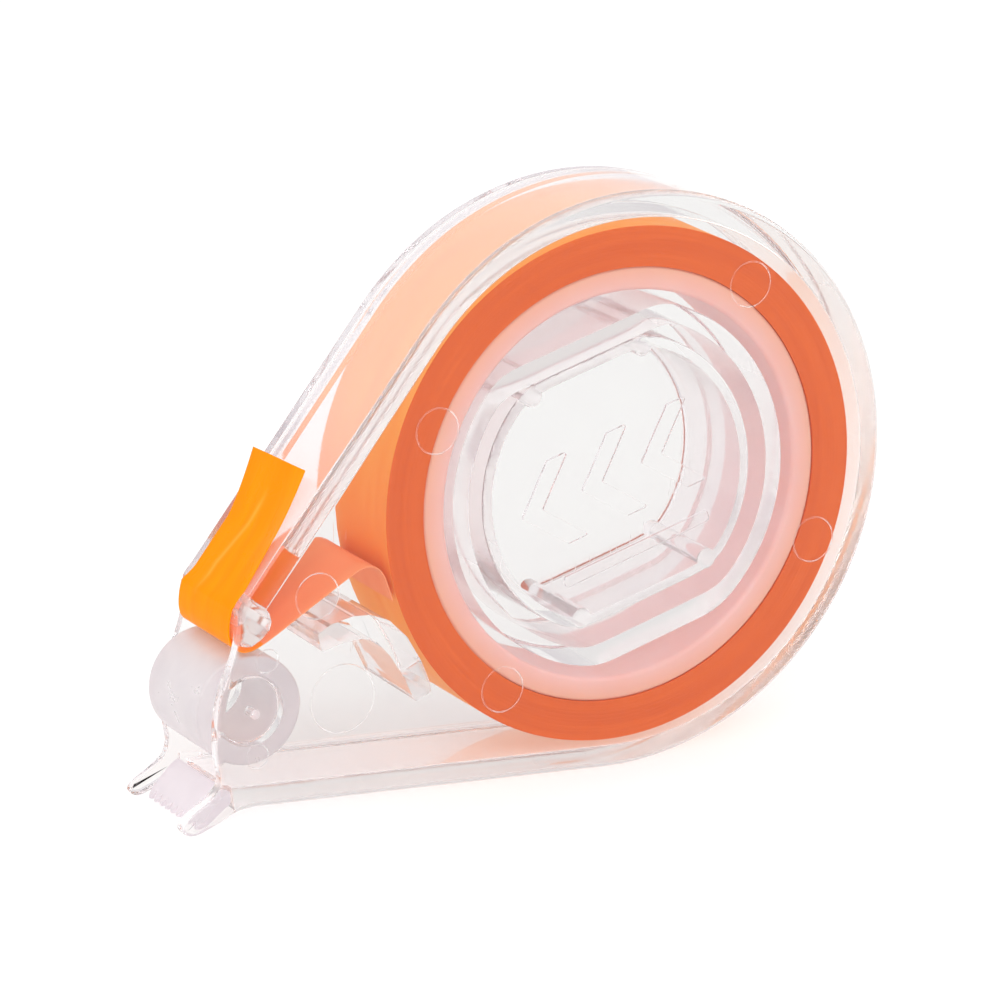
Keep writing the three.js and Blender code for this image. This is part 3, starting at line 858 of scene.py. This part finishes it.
# the part of the strip inside the case takes the paler tape copy, a painted sheen
leader.data.materials.append(INSIDE_SHEEN_MAT)
for poly, inner in zip(leader.data.polygons, in_case):
    poly.material_index = 1 if inner else 0
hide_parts("tape_leader")

# ---------------------------------------------------------- applicator roller
rp = [
    (4.1, 6.0), (4.25, 6.2), (6.1, 6.2), (6.35, 6.12), (6.47, 5.95), (6.5, 5.7),
    (6.5, 2), (6.5, -2), (6.5, -5.7), (6.47, -5.95), (6.35, -6.12), (6.1, -6.2), (4.25, -6.2), (4.1, -6.0), (4.1, -2), (4.1, 2),
]
roller = lathe("roller", rp, ROLLER_C, 112)
done(roller, "roller_tube", "roller", MILKY, angle=40)
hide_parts("applicator_roller")

# --------------------------------------------------------------------- cutter
web = catmull([
    (-51.0, -28.7), (-51.6, -28.95), (-52.6, -29.75), (-53.6, -30.75), (-54.5, -31.75), (-55.15, -32.6),
    (-54.75, -32.75), (-53.75, -32.2), (-52.6, -31.35), (-51.6, -30.6), (-51.0, -30.2),
], 4, closed=True)
blade = rprism("web", web, -6.3, 6.3, 0.08, 0.08, seg=2)
pitch, depth = 1.4, 1.15
count = int(12.6 // pitch)
d = np.array([-0.62, -0.785])
d /= np.linalg.norm(d)
across = np.array([d[1], -d[0]])
for i in range(count + 1):
    yc = -count * pitch / 2 + i * pitch
    tri = [(-pitch * 0.55, 0.4), (-0.06, -depth + 0.06), (0.0, -depth), (0.06, -depth + 0.06), (pitch * 0.55, 0.4)]
    v = []
    for s in (-2.5, 2.5):
        for a, b in tri:
            q = np.array([-55.0, -32.7]) + d * b + across * s
            v.append((q[0], yc + a, q[1]))
    f = [tuple(range(5)), tuple(range(9, 4, -1))] + [(j, (j + 1) % 5, (j + 1) % 5 + 5, j + 5) for j in range(5)]
    cut(blade, new_object("t%d" % i, v, f))
done(blade, "cutter_web", "case", FROST, angle=30)
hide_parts("cutter_blade")

# --------------------------------------------------------------------- camera
AZ, EL, F_PX, U0, V0, DIST = -29.025, 17.094, 6000.0, 618.86, 484.298, 694.493
a, e = math.radians(AZ), math.radians(EL)
back = np.array([math.sin(a) * math.cos(e), -math.cos(a) * math.cos(e), math.sin(e)])
right = np.array([math.cos(a), math.sin(a), 0.0])
up = np.cross(back, right)
pc = np.array([(U0 - 500) / F_PX * DIST, -(V0 - 500) / F_PX * DIST, -DIST])
eye = np.array([0, -6.35, 0]) - np.array([right, up, back]).T @ pc
lean = np.array([[math.cos(LEAN), 0, -math.sin(LEAN)], [0, 1, 0], [math.sin(LEAN), 0, math.cos(LEAN)]])
cam_data = bpy.data.cameras.new("camera")
cam_data.sensor_width = 36.0
cam_data.lens = F_PX / 1000 * 36.0
cam_data.clip_start, cam_data.clip_end = 0.01, 20
camera = bpy.data.objects.new("camera", cam_data)
bpy.context.scene.collection.objects.link(camera)
rot = np.eye(4)
rot[:3, 0], rot[:3, 1], rot[:3, 2] = lean @ right, lean @ up, lean @ back
rot[:3, 3] = to_frame(eye)[0]
camera.matrix_world = Matrix(rot.tolist())
bpy.context.scene.camera = camera

# ------------------------------------------------------------ floor and light
floor_mesh = bpy.data.meshes.new("floor")
floor_mesh.from_pydata([(-4, -4, 0), (4, -4, 0), (4, 4, 0), (-4, 4, 0)], [], [(0, 1, 2, 3)])
floor = bpy.data.objects.new("floor", floor_mesh)
bpy.context.scene.collection.objects.link(floor)
floor.location.z = -0.00002
fm = Mat("floor")
fn = fm.noise(6, 2.0, 0.5)
fp = fm.principled(fm.mix(fn, (0.6, 0.6, 0.6, 1), (0.59, 0.59, 0.59, 1)), 0.7)
fp.inputs["Specular IOR Level"].default_value = 0.1
fp.inputs["Emission Color"].default_value = (1.0, 1.0, 1.0, 1)
fp.inputs["Emission Strength"].default_value = 0.44
floor_mesh.materials.append(fm.surface(fp.outputs[0]))

world = bpy.data.worlds.new("world")
bpy.context.scene.world = world
world.use_nodes = True
wt = world.node_tree
wt.nodes.clear()
wout = wt.nodes.new("ShaderNodeOutputWorld")
wbg = wt.nodes.new("ShaderNodeBackground")
wco = wt.nodes.new("ShaderNodeTexCoord")
wsep = wt.nodes.new("ShaderNodeSeparateXYZ")
wt.links.new(wco.outputs["Generated"], wsep.inputs[0])
wramp = wt.nodes.new("ShaderNodeValToRGB")
wt.links.new(wsep.outputs[2], wramp.inputs[0])
wramp.color_ramp.elements[0].position, wramp.color_ramp.elements[0].color = 0.0, (0.85, 0.812, 0.846, 1)
wramp.color_ramp.elements[1].position, wramp.color_ramp.elements[1].color = 0.45, (0.97, 0.97, 0.965, 1)
wt.links.new(wramp.outputs[0], wbg.inputs["Color"])
wbg.inputs["Strength"].default_value = 1.0
wt.links.new(wbg.outputs[0], wout.inputs[0])


def area(name, loc, aim, size, power, colour=(1, 1, 1)):
    d = bpy.data.lights.new(name, "AREA")
    d.shape = "RECTANGLE"
    d.size, d.size_y = size
    d.energy = power
    d.color = colour
    o = bpy.data.objects.new(name, d)
    o.location = loc
    o.rotation_mode = "QUATERNION"
    o.rotation_quaternion = (Vector(aim) - Vector(loc)).to_track_quat("-Z", "Y")
    bpy.context.scene.collection.objects.link(o)
    return o


area("key", (-0.45, -0.55, 0.75), (0, 0, 0.035), (0.45, 0.45), 2.6)
area("fill", (0.7, -0.2, 0.5), (0, 0, 0.03), (0.3, 0.5), 1.0)

scene = bpy.context.scene
scene.view_settings.view_transform = "Standard"
scene.view_settings.look = "None"
scene.view_settings.exposure = 0.0
if hasattr(scene, "cycles"):
    scene.cycles.max_bounces = 28
    scene.cycles.transmission_bounces = 28
    scene.cycles.transparent_max_bounces = 32
    scene.cycles.glossy_bounces = 28
    scene.cycles.diffuse_bounces = 5
